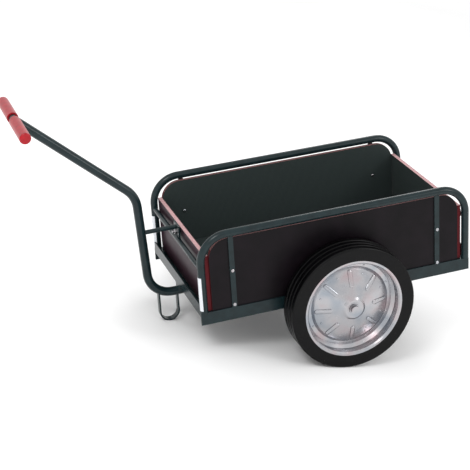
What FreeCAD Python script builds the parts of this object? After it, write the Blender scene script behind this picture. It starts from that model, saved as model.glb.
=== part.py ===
"""Single-axle hand cart with a wooden box, a bent drawbar and a loop stand.

Everything is drawn level, with the axle along Y through the origin, +X towards the handle and
+Z up. At the end the cart is tipped forward about its axle until the loop stand meets the floor
that the tyres stand on, which is how it parks.
"""
import FreeCAD
import Part
import math
import os

V = FreeCAD.Vector

# Wheels and axle
TYRE_R = 200.0
WHEEL_Y = 310.0          # middle of each wheel
RIM_R = 158.0
TYRE_BORE_R = 150.0
HUB_R = 22.0
HUB_HALF = 42.0
AXLE_R = 10.0
AXLE_PLAY = 0.05
AXLE_HALF = 358.0

# Tube side frames
TUBE_R = 12.0
TUBE_Y = 252.2
FRONT_X = 443.8
REAR_X = -421.0
TOP_Z = 286.0
BEND_R = 84.7

# Angle-iron base, deck and boards
ANGLE = 40.0
ANGLE_T = 4.0
RAIL_Y = 256.0           # outer face of the side rails
RAIL_Z0 = 1.0
MEMBER_Z0 = 28.3
PLY = 12.0
PANEL_TOP = 270.0
PANEL_CORNER = 60.0
END_TOP = 221.8
END_HALF = 246.0
DECK_HALF = 239.5
DECK_GAP = 0.5
SLOT = 1.0
RIB_W = 16.0
RIB_X = (348.0, -323.0)
BEARER_X = (300.0, 40.0, -220.0)

# Drawbar, stand and handle
BAR_R = 14.0
BAR_Z = 5.0
BAR_FOOT_X = 545.0
BAR_KNEE = (560.8, 348.1)
HANDLE = (897.0, 654.0)
LOW_BEND_R = 76.0
KNEE_BEND_R = 90.0
CROSS_R = 8.0
CROSS_Z = 184.5
STRUT_R = 7.0
STRUT_Z = 222.5
LOOP_X = 488.5
LOOP_R = 32.5
LOOP_T = 5.0
LOOP_W = 20.0
LOOP_Z = -58.5           # centre of the loop's round bottom
HANDLE_R = 12.5
GRIP_R = 17.0
GRIP_INNER = 16.0
GRIP_END = 176.0

RAIL_Z1 = RAIL_Z0 + ANGLE
DECK_TOP = RAIL_Z1 + PLY
FRONT_FACE = FRONT_X + TUBE_R
REAR_FACE = REAR_X - TUBE_R
FRONT_BOARD = FRONT_X - TUBE_R - SLOT
REAR_BOARD = REAR_X + TUBE_R + SLOT


def block(x0, x1, y0, y1, z0, z1):
    return Part.makeBox(x1 - x0, y1 - y0, z1 - z0, V(x0, y0, z0))


def cylinder_y(radius, y0, y1, x=0.0, z=0.0):
    return Part.makeCylinder(radius, y1 - y0, V(x, y0, z), V(0, 1, 0))


def mirrored(shape):
    return shape.mirror(V(0, 0, 0), V(0, 1, 0))


def bent_path(points, radii):
    """Straight runs joined by tangent arcs, one arc of its own radius at each inner point."""
    edges = []
    start = points[0]
    for i, radius in enumerate(radii, start=1):
        into = (points[i] - points[i - 1]).normalize()
        out = (points[i + 1] - points[i]).normalize()
        turn = into.getAngle(out)
        run = radius * math.tan(turn / 2)
        a = points[i] - into * run
        b = points[i] + out * run
        inward = (out - into).normalize()
        middle = points[i] + inward * (radius / math.cos(turn / 2) - radius)
        edges.append(Part.LineSegment(start, a).toShape())
        edges.append(Part.Arc(a, middle, b).toShape())
        start = b
    edges.append(Part.LineSegment(start, points[-1]).toShape())
    return Part.Wire(edges)


def bar_along(points, radii, radius):
    path = bent_path(points, radii)
    first = (points[1] - points[0]).normalize()
    ring = Part.Wire([Part.makeCircle(radius, points[0], first)])
    return path.makePipeShell([ring], True, True)


def turned(outline, y):
    """A ring of the given (radius, y) outline about the axle, placed at y."""
    points = [V(r, y + dy, 0) for r, dy in outline]
    face = Part.Face(Part.makePolygon(points + points[:1]))
    return face.revolve(V(0, 0, 0), V(0, 1, 0), 360)


def side_frame(y):
    points = [V(FRONT_X, y, RAIL_Z1), V(FRONT_X, y, TOP_Z), V(REAR_X, y, TOP_Z), V(REAR_X, y, RAIL_Z1)]
    return bar_along(points, [BEND_R, BEND_R], TUBE_R)


def side_rail():
    upright = block(REAR_FACE, FRONT_FACE, RAIL_Y - ANGLE_T, RAIL_Y, RAIL_Z0, RAIL_Z1)
    ledge = block(REAR_FACE + ANGLE_T, FRONT_FACE - ANGLE_T, RAIL_Y - ANGLE, RAIL_Y - ANGLE_T,
                  RAIL_Z1 - ANGLE_T, RAIL_Z1)
    return upright.fuse(ledge).removeSplitter().cut(cylinder_y(AXLE_R, 0, AXLE_HALF))


def end_member(face, inward, tubes):
    """Angle across one end: its upright leg at the face, its flat leg turned in under the deck."""
    half = RAIL_Y - ANGLE_T
    leg = sorted((face, face + inward * ANGLE_T))
    foot = sorted((face, face + inward * ANGLE))
    upright = block(leg[0], leg[1], -half, half, MEMBER_Z0, MEMBER_Z0 + ANGLE)
    flat = block(foot[0], foot[1], -half, half, MEMBER_Z0, MEMBER_Z0 + ANGLE_T)
    member = upright.fuse(flat).removeSplitter()
    for tube in tubes:
        member = member.cut(tube)
    return member


def side_panel():
    x0 = REAR_BOARD + PLY + SLOT
    x1 = FRONT_BOARD - PLY - SLOT
    r = PANEL_CORNER
    low = [V(x0, 0, RAIL_Z1), V(x1, 0, RAIL_Z1), V(x1, 0, PANEL_TOP - r), V(x1 - r, 0, PANEL_TOP),
           V(x0 + r, 0, PANEL_TOP), V(x0, 0, PANEL_TOP - r)]
    d = r * (1 - math.sqrt(0.5))
    edges = [Part.LineSegment(low[0], low[1]).toShape(),
             Part.LineSegment(low[1], low[2]).toShape(),
             Part.Arc(low[2], V(x1 - d, 0, PANEL_TOP - d), low[3]).toShape(),
             Part.LineSegment(low[3], low[4]).toShape(),
             Part.Arc(low[4], V(x0 + d, 0, PANEL_TOP - d), low[5]).toShape(),
             Part.LineSegment(low[5], low[0]).toShape()]
    panel = Part.Face(Part.Wire(edges)).extrude(V(0, PLY, 0))
    panel.translate(V(0, RAIL_Y - ANGLE_T - PLY, 0))
    return panel


def loop_stand():
    top = BAR_Z + BAR_R / 2
    rings = []
    for radius in (LOOP_R, LOOP_R - LOOP_T):
        disc = Part.makeCylinder(radius, LOOP_W, V(LOOP_X, -LOOP_W / 2, LOOP_Z), V(0, 1, 0))
        legs = block(LOOP_X - radius, LOOP_X + radius, -LOOP_W / 2, LOOP_W / 2, LOOP_Z, top)
        rings.append(disc.fuse(legs).removeSplitter())
    return rings[0].cut(rings[1])


def wheel(y, side):
    """Tyre, the two pressed half discs and the hub of one wheel; side is +1 for the left."""
    half = [(150.0, 36.3), (152.6, 38.8), (159.0, 38.8), (164.0, 41.0), (178.0, 41.0), (188.0, 38.5),
            (195.0, 34.0), (199.0, 27.0), (TYRE_R, 18.0)]
    tyre = half + [(r, -dy) for r, dy in reversed(half)]
    pressed = [(HUB_R, 41.5), (30.0, 41.5), (37.0, 36.0), (118.0, 8.5), (126.0, 3.0), (138.0, 3.0),
               (147.4, 12.0), (147.4, 37.5), (151.5, 41.5), (RIM_R, 41.5), (RIM_R, 39.0),
               (152.5, 39.0), (149.9, 36.5), (149.9, 11.0), (139.0, 0.3), (125.0, 0.3),
               (117.0, 6.0), (35.5, 33.6), (29.0, 39.0), (HUB_R, 39.0)]
    hub = cylinder_y(HUB_R - 0.05, y - HUB_HALF, y + HUB_HALF)
    hub = hub.cut(cylinder_y(AXLE_R + AXLE_PLAY, y - HUB_HALF, y + HUB_HALF))
    return {"tyre": turned(tyre, y),
            "wheel_disc_outer": turned([(r, side * dy) for r, dy in pressed], y),
            "wheel_disc_inner": turned([(r, -side * dy) for r, dy in pressed], y),
            "wheel_hub": hub}


def reflector(y):
    """Tape wrapped round the front of an upright."""
    tape_t = 0.6
    height = 110.0
    spread = 128.0
    z0 = RAIL_Z1 + 10
    turn = V(0, 0, 1)
    outer = Part.makeCylinder(TUBE_R + tape_t, height, V(FRONT_X, y, z0), turn, spread)
    tape = outer.cut(Part.makeCylinder(TUBE_R, height, V(FRONT_X, y, z0), turn))
    tape.rotate(V(FRONT_X, y, z0), turn, -spread / 2)
    return tape


def build():
    nodes = {}
    tubes = [side_frame(TUBE_Y), side_frame(-TUBE_Y)]
    nodes["side_frame_left"] = tubes[0]
    nodes["side_frame_right"] = tubes[1]
    rail = side_rail()
    nodes["side_rail_left"] = rail
    nodes["side_rail_right"] = mirrored(rail)
    nodes["front_member"] = end_member(FRONT_FACE, -1, tubes)
    nodes["rear_member"] = end_member(REAR_FACE, 1, tubes)
    nodes["deck_board"] = block(REAR_BOARD + PLY + DECK_GAP, FRONT_BOARD - PLY - DECK_GAP, -DECK_HALF,
                                DECK_HALF, RAIL_Z1, DECK_TOP)

    bearer_w = 30.0
    ledge_y = RAIL_Y - ANGLE
    bar_top = BAR_Z + BAR_R
    bearers = [block(x, x + bearer_w, -ledge_y, ledge_y, bar_top, RAIL_Z1) for x in BEARER_X]
    nodes["deck_bearers"] = Part.makeCompound(bearers)

    panel = side_panel()
    nodes["side_panel_left"] = panel
    nodes["side_panel_right"] = mirrored(panel)
    nodes["front_board"] = block(FRONT_BOARD - PLY, FRONT_BOARD, -END_HALF, END_HALF, RAIL_Z1, END_TOP)
    nodes["rear_board"] = block(REAR_BOARD, REAR_BOARD + PLY, -END_HALF, END_HALF, RAIL_Z1, END_TOP)

    ribs = []
    for x in RIB_X:
        rib = block(x - RIB_W / 2, x + RIB_W / 2, RAIL_Y - ANGLE_T, RAIL_Y, RAIL_Z1, TOP_Z - TUBE_R / 2)
        ribs.append(rib.cut(tubes[0]))
    nodes["side_ribs_left"] = Part.makeCompound(ribs)
    nodes["side_ribs_right"] = Part.makeCompound([mirrored(rib) for rib in ribs])

    for name, x in (("front_crossbar", FRONT_X), ("rear_crossbar", REAR_X)):
        bar = cylinder_y(CROSS_R, -TUBE_Y, TUBE_Y, x, CROSS_Z)
        nodes[name] = bar.cut(tubes[0]).cut(tubes[1])

    axle = cylinder_y(AXLE_R, -AXLE_HALF, AXLE_HALF)
    nodes["axle"] = axle
    plate = block(-32, 32, RAIL_Y - ANGLE_T - 7, RAIL_Y - ANGLE_T, -18, RAIL_Z1 - ANGLE_T).cut(axle)
    nodes["axle_brackets"] = Part.makeCompound([plate, mirrored(plate)])
    collar = cylinder_y(16, RAIL_Y + 0.5, WHEEL_Y - HUB_HALF - 1).cut(axle)
    washer = cylinder_y(17, WHEEL_Y + HUB_HALF + 1, AXLE_HALF - 2).cut(axle)
    cap = cylinder_y(13, AXLE_HALF, AXLE_HALF + 5)
    nodes["axle_collars"] = Part.makeCompound([collar, mirrored(collar)])
    nodes["axle_washers"] = Part.makeCompound([washer, mirrored(washer)])
    nodes["axle_caps"] = Part.makeCompound([cap, mirrored(cap)])

    handle_bar = cylinder_y(HANDLE_R, -GRIP_END + 6, GRIP_END - 6, HANDLE[0], HANDLE[1])
    route = [V(AXLE_R / 2, 0, BAR_Z), V(BAR_FOOT_X, 0, BAR_Z), V(BAR_KNEE[0], 0, BAR_KNEE[1]),
             V(HANDLE[0], 0, HANDLE[1])]
    drawbar = bar_along(route, [LOW_BEND_R, KNEE_BEND_R], BAR_R)
    nodes["drawbar"] = drawbar.cut(axle).cut(handle_bar)
    nodes["handle_bar"] = handle_bar
    grip = cylinder_y(GRIP_R, GRIP_INNER, GRIP_END, HANDLE[0], HANDLE[1])
    grip = grip.makeFillet(5.0, [e for e in grip.Edges if e.BoundBox.YMin > GRIP_END - 1])
    grip = grip.cut(handle_bar)
    nodes["grip_left"] = grip
    nodes["grip_right"] = mirrored(grip)

    saddle = block(FRONT_FACE - ANGLE, FRONT_FACE, -14, 14, BAR_Z, MEMBER_Z0)
    nodes["drawbar_saddle"] = saddle.cut(drawbar)
    nodes["stand_loop"] = loop_stand().cut(drawbar)

    plate_x = FRONT_X - 6
    strut_plate = block(plate_x, plate_x + 5, -25, 25, CROSS_Z, STRUT_Z + 8)
    nodes["strut_plate"] = strut_plate.cut(nodes["front_crossbar"])
    strut = Part.makeCylinder(STRUT_R, BAR_FOOT_X - plate_x, V(plate_x + 5, 0, STRUT_Z), V(1, 0, 0))
    nodes["strut"] = strut.cut(drawbar)
    bolt_z = CROSS_Z + 22
    head = [V(plate_x + 5, 7.5 * math.cos(a), bolt_z + 7.5 * math.sin(a))
            for a in (math.pi / 3 * i for i in range(6))]
    head_solid = Part.Face(Part.makePolygon(head + head[:1])).extrude(V(6.5, 0, 0))
    stud = Part.makeCylinder(4, 14, V(plate_x + 5, 0, bolt_z), V(1, 0, 0))
    nodes["strut_bolt"] = head_solid.fuse(stud).removeSplitter()

    tapes = [reflector(y).cut(nodes["front_member"]) for y in (TUBE_Y, -TUBE_Y)]
    nodes["front_reflectors"] = Part.makeCompound(tapes)

    for side, name in ((1, "left"), (-1, "right")):
        for piece, shape in wheel(side * WHEEL_Y, side).items():
            nodes[piece + "_" + name] = shape
    return nodes


def park(nodes):
    """Tip the cart onto its loop stand and set its floor point under the middle of its length."""
    reach = math.hypot(LOOP_X, LOOP_Z)
    tilt = math.asin((TYRE_R - LOOP_R) / reach) - math.atan2(-LOOP_Z, LOOP_X)
    for shape in nodes.values():
        shape.rotate(V(0, 0, 0), V(0, 1, 0), math.degrees(tilt))
        shape.translate(V(0, 0, TYRE_R))
    low = min(shape.optimalBoundingBox(False).XMin for shape in nodes.values())
    high = max(shape.optimalBoundingBox(False).XMax for shape in nodes.values())
    for shape in nodes.values():
        shape.translate(V(-(low + high) / 2, 0, 0))
    print("tilt", round(math.degrees(tilt), 3), "axle x", round(-(low + high) / 2, 3))


parts = build()
park(parts)
os.makedirs("parts", exist_ok=True)
for node, shape in parts.items():
    shape.exportStep("parts/" + node + ".step")
    print(node, shape.isValid(), len(shape.Solids), round(shape.Volume / 1000, 1))
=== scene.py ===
"""Looks of the hand cart: powder-coated tube, film-faced plywood, zinc-plated pressed wheels,
solid rubber tyres and red grips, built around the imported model."""
import bpy
import math
from mathutils import Matrix, Vector


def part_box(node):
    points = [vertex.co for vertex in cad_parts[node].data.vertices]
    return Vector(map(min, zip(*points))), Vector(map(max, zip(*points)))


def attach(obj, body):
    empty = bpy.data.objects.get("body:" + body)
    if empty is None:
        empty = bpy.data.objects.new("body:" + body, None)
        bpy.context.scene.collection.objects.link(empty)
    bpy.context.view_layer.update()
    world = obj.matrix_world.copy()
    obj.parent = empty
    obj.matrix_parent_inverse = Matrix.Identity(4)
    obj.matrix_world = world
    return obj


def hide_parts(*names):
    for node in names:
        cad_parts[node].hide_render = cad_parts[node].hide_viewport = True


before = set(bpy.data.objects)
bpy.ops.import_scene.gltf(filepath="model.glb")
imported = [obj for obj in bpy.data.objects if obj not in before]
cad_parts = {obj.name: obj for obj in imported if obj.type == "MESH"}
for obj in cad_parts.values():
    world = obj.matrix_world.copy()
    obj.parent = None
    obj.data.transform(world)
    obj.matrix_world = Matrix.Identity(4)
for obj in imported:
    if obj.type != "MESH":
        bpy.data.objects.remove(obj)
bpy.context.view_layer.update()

MM = 0.001

# The cart is drawn level about its axle and then tipped onto its stand. The box of a side rail
# gives the tilt, near enough: this way of working it out comes a quarter of a degree short.
RAIL_HIGH = 40.0 * MM
rail_low, rail_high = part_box("side_rail_left")
wide = rail_high.x - rail_low.x
tall = rail_high.z - rail_low.z
TILT = math.atan2(tall, wide) - math.asin(RAIL_HIGH / math.hypot(wide, tall))
hub_low, hub_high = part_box("tyre_left")
AXLE = Vector(((hub_low.x + hub_high.x) / 2, 0.0, (hub_low.z + hub_high.z) / 2))
PARK = Matrix.Translation(AXLE) @ Matrix.Rotation(TILT, 4, "Y")
UP = (PARK.to_3x3() @ Vector((0, 0, 1))).normalized()
AHEAD = (PARK.to_3x3() @ Vector((1, 0, 0))).normalized()


def level(x, y, z):
    """A point given in mm from the axle with the cart level, in the frame's metres."""
    return PARK @ (Vector((x, y, z)) * MM)


# Looks ---------------------------------------------------------------------------------------

def colour(code):
    """sRGB hex to linear RGBA."""
    parts = [int(code[i:i + 2], 16) / 255 for i in (1, 3, 5)]
    return [c / 12.92 if c <= 0.04045 else ((c + 0.055) / 1.055) ** 2.4 for c in parts] + [1.0]


def add(tree, kind, settings=None, inputs=None):
    """One node with its settings; an input is a value or another node's output socket."""
    node = tree.nodes.new(kind)
    for key, value in (settings or {}).items():
        setattr(node, key, value)
    for key, value in (inputs or {}).items():
        if isinstance(value, bpy.types.NodeSocket):
            tree.links.new(value, node.inputs[key])
        else:
            node.inputs[key].default_value = value
    return node


def finish_of(name, roughness, metallic=0.0, **more):
    """A material with constants on its own shader; returns material, tree and shader."""
    material = bpy.data.materials.new(name)
    material.use_nodes = True
    tree = material.node_tree
    shader = tree.nodes["Principled BSDF"]
    shader.inputs["Roughness"].default_value = roughness
    shader.inputs["Metallic"].default_value = metallic
    for key, value in more.items():
        shader.inputs[key.replace("_", " ")].default_value = value
    return material, tree, shader


def noise(tree, size_mm, detail=3.0):
    """Noise whose lumps are size_mm across, on object coordinates."""
    place = add(tree, "ShaderNodeTexCoord")
    lumps = add(tree, "ShaderNodeTexNoise", None,
                {"Vector": place.outputs["Object"], "Scale": 1 / (size_mm * MM), "Detail": detail})
    return lumps.outputs["Fac"]


def tints(tree, factor, *stops):
    """Colour ramp through (place, hex) stops."""
    node = add(tree, "ShaderNodeValToRGB", None, {"Fac": factor})
    band = node.color_ramp
    while len(band.elements) < len(stops):
        band.elements.new(0.5)
    for element, (place, code) in zip(band.elements, stops):
        element.position = place
        element.color = colour(code)
    return node.outputs["Color"]


def sums(tree, kind, first, second=0.0):
    node = add(tree, "ShaderNodeMath", {"operation": kind}, {0: first, 1: second})
    return node.outputs[0]


def mixed(tree, factor, first, second):
    node = add(tree, "ShaderNodeMix", {"data_type": "RGBA"}, {0: factor, 6: first, 7: second})
    return node.outputs[2]


def along(tree, vector, direction):
    """How far a vector runs along a fixed direction."""
    node = add(tree, "ShaderNodeVectorMath", {"operation": "DOT_PRODUCT"}, {0: vector, 1: direction})
    return node.outputs["Value"]


def relief(tree, shader, height, depth_mm):
    node = add(tree, "ShaderNodeBump", None, {"Height": height, "Distance": depth_mm * MM})
    tree.links.new(node.outputs["Normal"], shader.inputs["Normal"])


def paint(tree, shader, tint):
    tree.links.new(tint, shader.inputs["Base Color"])


def powder_coat():
    # Polyester powder baked on steel: fine orange peel, and a gloss that draws thin bright lines.
    material, tree, shader = finish_of("powder_coated_steel", 0.26, Specular_IOR_Level=0.3)
    paint(tree, shader, tints(tree, noise(tree, 25), (0.3, "#0f1d20"), (0.7, "#16272a")))
    relief(tree, shader, noise(tree, 1.5), 0.04)
    return material


def film_ply(name, face, middle, outer, inner, lit_edge_low, lit_edge_high):
    # Phenol film on birch plywood. The smooth film is outside, a pressed wire mesh inside, and
    # the cut edges show bare layers. Cuts facing up get pale layered colours as painted light
    # from above; upright cuts get a flat dark crimson, their red-brown darkened as painted shade.
    # face is the sheet's direction and middle the middle of the load space, which tells the inside
    # from the outside.
    material, tree, shader = finish_of(name, 0.4, Specular_IOR_Level=0.14)
    place = add(tree, "ShaderNodeTexCoord").outputs["Object"]
    normal = add(tree, "ShaderNodeNewGeometry").outputs["Normal"]
    flat = sums(tree, "ABSOLUTE", along(tree, normal, face))
    is_edge = sums(tree, "LESS_THAN", flat, 0.6)
    back = add(tree, "ShaderNodeVectorMath", {"operation": "SUBTRACT"}, {0: place, 1: middle})
    outward = add(tree, "ShaderNodeVectorMath", {"operation": "DOT_PRODUCT"},
                  {0: back.outputs["Vector"], 1: normal})
    is_inside = sums(tree, "LESS_THAN", outward.outputs["Value"], 0.0)
    film = tints(tree, noise(tree, 60, 2.0), (0.3, outer[0]), (0.7, outer[1]))
    wires = sums(tree, "MAXIMUM", wire(tree, place, AHEAD, 4.0),
                 wire(tree, place, (0, 1, 0) if abs(face[1]) < 0.5 else UP, 4.0))
    meshed = mixed(tree, wires, colour(inner[0]), colour(inner[1]))
    layer = sums(tree, "FRACT", sums(tree, "MULTIPLY", along(tree, place, face), 1 / (3.0 * MM)))
    bare_edge_painted_light = tints(tree, layer, (0.45, lit_edge_low), (0.55, lit_edge_high))
    bare_edge_painted_light = mixed(tree, sums(tree, "MULTIPLY", noise(tree, 12, 5.0), 0.35), bare_edge_painted_light, colour(lit_edge_low))
    # Painted light: cuts facing up keep the pale layers, upright cuts turn dark crimson as painted
    # shade.
    upward = sums(tree, "ABSOLUTE", along(tree, normal, UP))
    bare_edge_painted_light = mixed(tree, sums(tree, "LESS_THAN", upward, 0.5), bare_edge_painted_light, colour("#5e1f24"))
    skin = mixed(tree, is_inside, film, meshed)
    paint(tree, shader, mixed(tree, is_edge, skin, bare_edge_painted_light))
    rough = add(tree, "ShaderNodeMapRange", None, {0: is_edge, 3: 0.38, 4: 0.8})
    tree.links.new(rough.outputs[0], shader.inputs["Roughness"])
    relief(tree, shader, sums(tree, "MULTIPLY", wires, is_inside), 0.15)
    return material


def wire(tree, place, direction, pitch_mm):
    """1 along thin parallel lines at that pitch, 0 between them."""
    turns = sums(tree, "MULTIPLY", along(tree, place, direction), 2 * math.pi / (pitch_mm * MM))
    return sums(tree, "GREATER_THAN", sums(tree, "SINE", turns), 0.6)


def zinc():
    # Bright zinc with a clear passivated film: metal with faint pink and blue bands.
    material, tree, shader = finish_of("zinc_plated_steel", 0.24, 1.0)
    paint(tree, shader, tints(tree, noise(tree, 70, 2.0), (0.3, "#9aa0a8"), (0.5, "#b1b0b3"),
                              (0.7, "#b5a6a9")))
    grain = noise(tree, 8, 4.0)
    rough = add(tree, "ShaderNodeMapRange", None, {0: grain, 3: 0.17, 4: 0.32})
    tree.links.new(rough.outputs[0], shader.inputs["Roughness"])
    relief(tree, shader, noise(tree, 30, 2.0), 0.25)
    return material


def rubber():
    # Cured tyre rubber: near black, a soft sheen on the tread and dusty patches on the wall.
    material, tree, shader = finish_of("solid_tyre_rubber", 0.4, Specular_IOR_Level=0.16)
    paint(tree, shader, tints(tree, noise(tree, 35, 5.0), (0.3, "#020203"), (0.75, "#060607")))
    grain = noise(tree, 20, 4.0)
    rough = add(tree, "ShaderNodeMapRange", None, {0: grain, 3: 0.22, 4: 0.38})
    tree.links.new(rough.outputs[0], shader.inputs["Roughness"])
    relief(tree, shader, noise(tree, 0.9), 0.05)
    return material


def red_grip():
    # Soft red PVC: glossy, with faces turned up mixed towards pale pink as a painted sheen from the
    # light above.
    material, tree, shader = finish_of("soft_red_pvc", 0.3, Specular_IOR_Level=0.35)
    grip_red = tints(tree, noise(tree, 18, 4.0), (0.3, "#8a0612"), (0.7, "#a80d1d"))
    normal = add(tree, "ShaderNodeNewGeometry").outputs["Normal"]
    # Painted sheen: the more a face turns up, the more pale pink it takes, up to 0.12.
    painted_sheen_top = add(tree, "ShaderNodeMapRange", None, {0: along(tree, normal, UP), 1: 0.4, 2: 1.0, 4: 0.12})
    paint(tree, shader, mixed(tree, painted_sheen_top.outputs[0], grip_red, colour("#a84450")))
    relief(tree, shader, noise(tree, 2.0), 0.06)
    return material


def white_tape():
    # Retroreflective tape: white film over tiny beads, with a faint cell pattern.
    material, tree, shader = finish_of("reflective_tape", 0.3, Coat_Weight=0.4)
    place = add(tree, "ShaderNodeTexCoord").outputs["Object"]
    cells = add(tree, "ShaderNodeTexVoronoi", None, {"Vector": place, "Scale": 1 / (2.5 * MM)})
    paint(tree, shader, tints(tree, cells.outputs["Distance"], (0.2, "#e9ebee"), (0.6, "#d5d9df")))
    return material


LOAD_MIDDLE = level(11.4, 0, 150)
POWDER = powder_coat()
DARK = ("#0a070a", "#130d12")
MESH = ("#3a4241", "#252c2c")
# The last two colours of each ply are its cuts facing up, paled as painted light from above.
SIDE_PLY = film_ply("film_faced_ply_side", (0, 1, 0), LOAD_MIDDLE, DARK, MESH, "#6e4748", "#a07574")
DECK_PLY = film_ply("film_faced_ply_deck", UP, LOAD_MIDDLE, DARK, MESH, "#7a3a40", "#a86a68")
END_PLY = film_ply("film_faced_ply_end", AHEAD, LOAD_MIDDLE, ("#2a1c23", "#38262f"), MESH,
                   "#8c5a5e", "#e6c6c6")
ZINC = zinc()
RUBBER = rubber()
RED = red_grip()
TAPE = white_tape()

LOOKS = {
    "deck_board": DECK_PLY, "front_board": END_PLY, "rear_board": END_PLY,
    "side_panel_left": SIDE_PLY, "side_panel_right": SIDE_PLY,
    "grip_left": RED, "grip_right": RED, "front_reflectors": TAPE,
    "strut_bolt": ZINC, "axle": ZINC, "axle_washers": ZINC, "axle_caps": ZINC, "axle_collars": ZINC,
    "tyre_left": RUBBER, "tyre_right": RUBBER,
}
for name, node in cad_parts.items():
    look = LOOKS.get(name, ZINC if name.startswith("wheel_") else POWDER)
    node.data.materials.clear()
    node.data.materials.append(look)


# Pieces that repeat, made by Geometry Nodes --------------------------------------------------

class Tree:
    """A Geometry Nodes tree that puts copies of one small shape at the points of a mesh."""

    def __init__(self, name):
        self.group = bpy.data.node_groups.new(name, "GeometryNodeTree")
        self.group.interface.new_socket("Geometry", in_out="INPUT", socket_type="NodeSocketGeometry")
        self.group.interface.new_socket("Geometry", in_out="OUTPUT", socket_type="NodeSocketGeometry")
        self.source = self.group.nodes.new("NodeGroupInput")
        self.sink = self.group.nodes.new("NodeGroupOutput")

    def number(self, name, value):
        """A named input of the tree; returns its identifier and its socket inside the tree."""
        made = self.group.interface.new_socket(name, in_out="INPUT", socket_type="NodeSocketFloat")
        made.default_value = value
        return made.identifier, self.source.outputs[name]


def plain_mesh(name, carrier, group, settings, rides):
    """Runs the tree on the carrier, keeps the result as a plain mesh and lets it ride."""
    holder = bpy.data.objects.new(name + "_holder", carrier)
    bpy.context.scene.collection.objects.link(holder)
    modifier = holder.modifiers.new("pattern", "NODES")
    modifier.node_group = group
    for identifier, value in settings.items():
        modifier[identifier] = value
    graph = bpy.context.evaluated_depsgraph_get()
    mesh = bpy.data.meshes.new_from_object(holder.evaluated_get(graph))
    mesh.name = name
    holder.modifiers.remove(modifier)
    bpy.data.objects.remove(holder)
    piece = bpy.data.objects.new(name, mesh)
    bpy.context.scene.collection.objects.link(piece)
    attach(piece, rides)
    return piece


def dome_profile(radius, height, steps=6):
    """Half section of a domed head from its axis to its foot, as (radius, height)."""
    turns = [math.pi / 2 * i / steps for i in range(steps + 1)]
    return [(radius * math.sin(t), height * (0.35 + 0.65 * math.cos(t))) for t in turns] + [
        (radius, 0.0)]


def turned_mesh(name, profile, around=32):
    """A shape turned about +Z from a profile of (radius, height); its ends stay open."""
    points, faces = [], []
    ring = len(profile)
    for i in range(around):
        a = 2 * math.pi * i / around
        points += [(r * math.cos(a), r * math.sin(a), z) for r, z in profile]
    for i in range(around):
        j = (i + 1) % around
        for k in range(ring - 1):
            faces.append((i * ring + k, i * ring + k + 1, j * ring + k + 1, j * ring + k))
    mesh = bpy.data.meshes.new(name)
    mesh.from_pydata(points, [], faces)
    mesh.update()
    return mesh


def stadium(name, radius, height, straight):
    """A pressed bead: a dome cut in half and drawn out by `straight` along X."""
    mesh = turned_mesh(name, dome_profile(radius, height), 30)
    mesh.transform(Matrix.Rotation(math.pi / 30, 4, "Z"))
    for vertex in mesh.vertices:
        vertex.co.x += math.copysign(straight / 2, vertex.co.x)
    return mesh


def copies(name, small, look):
    """Tree: one small shape on every point, turned by the point's own 'turn', scaled by Size."""
    tree = Tree(name)
    group = tree.group
    holder = bpy.data.objects.new(name + "_shape", small)
    bpy.context.scene.collection.objects.link(holder)
    shape = add(group, "GeometryNodeObjectInfo", None, {"Object": holder})
    turn = add(group, "GeometryNodeInputNamedAttribute", {"data_type": "FLOAT_VECTOR"},
               {"Name": "turn"})
    size_id, size = tree.number("Size", 1.0)
    laid = add(group, "GeometryNodeInstanceOnPoints", None,
               {"Points": tree.source.outputs["Geometry"], "Instance": shape.outputs["Geometry"],
                "Rotation": turn.outputs["Attribute"], "Scale": size})
    real = add(group, "GeometryNodeRealizeInstances", None, {"Geometry": laid.outputs["Instances"]})
    joined = add(group, "GeometryNodeMergeByDistance", None,
                 {"Geometry": real.outputs["Geometry"], "Distance": 0.00001})
    coated = add(group, "GeometryNodeSetMaterial", None,
                 {"Geometry": joined.outputs["Geometry"], "Material": look})
    group.links.new(coated.outputs["Geometry"], tree.sink.inputs["Geometry"])
    return group, size_id, holder


def points_mesh(name, rows):
    """Loose points from (place, direction, lengthwise), the last two kept as a turn."""
    mesh = bpy.data.meshes.new(name)
    mesh.from_pydata([row[0] for row in rows], [], [])
    turns = mesh.attributes.new("turn", "FLOAT_VECTOR", "POINT")
    for item, (_, way, length) in zip(turns.data, rows):
        way = Vector(way).normalized()
        cross = way.cross(Vector(length)).normalized()
        item.vector = Matrix((cross.cross(way), cross, way)).transposed().to_euler()
    return mesh


def scatter(name, rows, small, look, rides):
    group, size_id, holder = copies(name + "_tree", small, look)
    piece = plain_mesh(name, points_mesh(name + "_points", rows), group, {size_id: 1.0}, rides)
    bpy.data.objects.remove(holder)
    for face in piece.data.polygons:
        face.use_smooth = True
    return piece


# Bolts: domed heads on the ribs, outside, and on the panels, inside.
HEAD = turned_mesh("pan_head", dome_profile(5.5 * MM, 3.2 * MM))
RIB_FACE = 256.0
PANEL_FACE = 240.0
RIB_X = (348.0, -323.0)
OUTER_BOLT_Z = (161.0, 48.0)
INNER_BOLT_Z = 160.0
rows = []
for x in RIB_X:
    for side in (1, -1):
        for z in OUTER_BOLT_Z:
            rows.append((level(x, side * RIB_FACE, z), (0, side, 0), AHEAD))
        rows.append((level(x, side * PANEL_FACE, INNER_BOLT_Z), (0, -side, 0), AHEAD))
scatter("panel_bolts", rows, HEAD, ZINC, "cart")

# Wheels: a grooved tread in place of the plain tyre.
TYRE_R = (hub_high.x - hub_low.x) / 2
RIM_R = 158.0 * MM
WALL_R = TYRE_R - 16 * MM
SHOULDER = 5.0 * MM
SHOULDER_DROP = 0.5 * MM
GROOVE_TOP = TYRE_R - 0.3 * MM
GROOVE_FLOOR = TYRE_R - 3.4 * MM
GROOVE_TOP_HALF = 3.2 * MM
GROOVE_FLOOR_HALF = 1.8 * MM
GROOVES = (-0.5, 0.0, 0.5)
SHOULDER_STEPS = (0, 0.25, 0.5, 0.75, 1.0)


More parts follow.
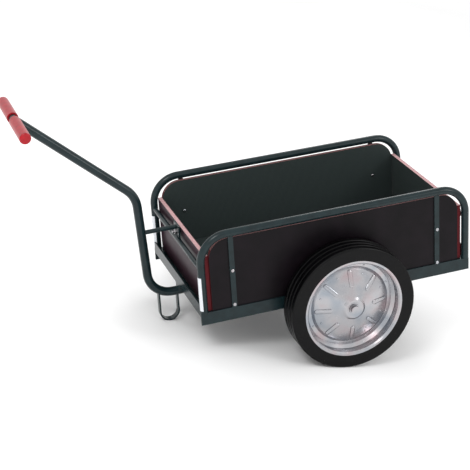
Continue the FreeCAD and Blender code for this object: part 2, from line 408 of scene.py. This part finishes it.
def tyre_profile(half):
    """Section of the tyre from one bead to the other, as (radius, distance from its middle)."""
    def shoulder(side, step):
        turn = math.pi / 2 * step
        out = TYRE_R - SHOULDER + SHOULDER * math.sin(turn) - SHOULDER_DROP
        return out, side * (half - SHOULDER + SHOULDER * math.cos(turn))

    profile = [(RIM_R, -half), (WALL_R, -half)]
    profile += [shoulder(-1, step) for step in SHOULDER_STEPS]
    for centre in GROOVES:
        y = centre * half
        profile += [(GROOVE_TOP, y - GROOVE_TOP_HALF), (GROOVE_FLOOR, y - GROOVE_FLOOR_HALF),
                    (GROOVE_FLOOR, y + GROOVE_FLOOR_HALF), (GROOVE_TOP, y + GROOVE_TOP_HALF)]
    profile += [shoulder(1, step) for step in reversed(SHOULDER_STEPS)]
    return profile + [(WALL_R, half), (RIM_R, half), (RIM_R, -half)]


for name in ("left", "right"):
    low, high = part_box("tyre_" + name)
    mesh = turned_mesh("grooved_tyre_" + name, tyre_profile((high.y - low.y) / 2), 144)
    mesh.transform(Matrix.Translation((low + high) / 2) @ Matrix.Rotation(-math.pi / 2, 4, "X"))
    piece = bpy.data.objects.new("grooved_tyre_" + name, mesh)
    bpy.context.scene.collection.objects.link(piece)
    mesh.materials.append(RUBBER)
    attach(piece, "wheel_" + name)
    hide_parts("tyre_" + name)


# Discs: pressed beads between hub and ring, and pairs of small rivets near the ring.
def on_disc(node, side, radius, angle):
    """Place, normal and lengthwise way on a disc, at a radius in mm and an angle from ahead."""
    ray = (PARK.to_3x3() @ Vector((math.cos(angle), 0, math.sin(angle)))) * radius * MM
    start = Vector((AXLE.x + ray.x, side * 1.0, AXLE.z + ray.z))
    _, place, normal, _ = node.ray_cast(start, (0, -side, 0))
    if normal.y * side < 0:
        normal = -normal
    return place, normal, ray.normalized()


BEAD = stadium("pressed_bead", 7.0 * MM, 4.0 * MM, 42.0 * MM)
RIVET = turned_mesh("rivet_head", dome_profile(3.2 * MM, 1.8 * MM), 20)
BEAD_R = 92.0
RIVET_R = (106.0, 131.0)
SPOKES = 8
STEP = 2 * math.pi / SPOKES
for side, name in ((1, "left"), (-1, "right")):
    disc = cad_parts["wheel_disc_outer_" + name]
    beads = [on_disc(disc, side, BEAD_R, STEP * i) for i in range(SPOKES)]
    scatter("disc_beads_" + name, beads, BEAD, ZINC, "wheel_" + name)
    rivets = [on_disc(disc, side, r, STEP * (i + 0.5)) for i in range(SPOKES) for r in RIVET_R]
    scatter("disc_rivets_" + name, rivets, RIVET, ZINC, "wheel_" + name)

# Stage: pale floor and soft lights -----------------------------------------------------------

floor_mesh = bpy.data.meshes.new("floor")
REACH = 40.0
floor_mesh.from_pydata([(-REACH, -REACH, 0), (REACH, -REACH, 0), (REACH, REACH, 0),
                        (-REACH, REACH, 0)], [], [(0, 1, 2, 3)])
floor = bpy.data.objects.new("floor", floor_mesh)
bpy.context.scene.collection.objects.link(floor)
floor_look, floor_tree, floor_shader = finish_of("studio_floor", 0.9)
paint(floor_tree, floor_shader, tints(floor_tree, noise(floor_tree, 900, 1.0), (0.3, "#fafafa"),
                                      (0.7, "#ffffff")))
floor_mesh.materials.append(floor_look)

world = bpy.data.worlds.new("studio")
bpy.context.scene.world = world
world.use_nodes = True
sky = world.node_tree
sky.nodes.clear()
white = add(sky, "ShaderNodeBackground", None, {"Color": colour("#ffffff"), "Strength": 1.0})
add(sky, "ShaderNodeOutputWorld", None, {"Surface": white.outputs[0]})


def lamp(name, place, aim, size, watts):
    data = bpy.data.lights.new(name, "AREA")
    data.size = size
    data.energy = watts
    obj = bpy.data.objects.new(name, data)
    bpy.context.scene.collection.objects.link(obj)
    obj.location = place
    obj.rotation_euler = (Vector(aim) - Vector(place)).to_track_quat("-Z", "Y").to_euler()


lamp("key_soft", (2.5, 2.5, 3.5), (0, 0, 0.4), 1.2, 60)
lamp("fill_soft", (-2.5, 3.0, 2.5), (0, 0, 0.4), 1.2, 30)
lamp("back_soft", (-1.5, -3.0, 3.0), (0, 0, 0.4), 1.2, 30)

# Camera: a long lens, tipped with the parked cart --------------------------------------------

SIDE_TURN = math.radians(17.24)
LOOK_DOWN = math.radians(24.516)
ROLL = math.radians(-3.658)
AWAY = 4499.0
back = Vector((math.sin(SIDE_TURN) * math.cos(LOOK_DOWN), math.cos(SIDE_TURN) * math.cos(LOOK_DOWN),
               math.sin(LOOK_DOWN)))
# a point above the deck, in mm from the axle with the cart level
AIM = Vector((254.6, 0.0, 153.0))
eye = AIM + back * AWAY
right = Vector((-math.cos(SIDE_TURN), math.sin(SIDE_TURN), 0))
above = right.cross(back) * -1
r2 = right * math.cos(ROLL) + above * math.sin(ROLL)
u2 = above * math.cos(ROLL) - right * math.sin(ROLL)
axes = Matrix((r2, u2, back)).transposed()
camera_data = bpy.data.cameras.new("camera")
camera_data.lens = 109.26
camera_data.sensor_width = 36.0
camera_data.clip_end = 100.0
camera = bpy.data.objects.new("camera", camera_data)
bpy.context.scene.collection.objects.link(camera)
camera.matrix_world = Matrix.Translation(PARK @ (eye * MM)) @ (PARK.to_3x3() @ axes).to_4x4()
bpy.context.scene.camera = camera
bpy.context.scene.view_settings.view_transform = "Standard"
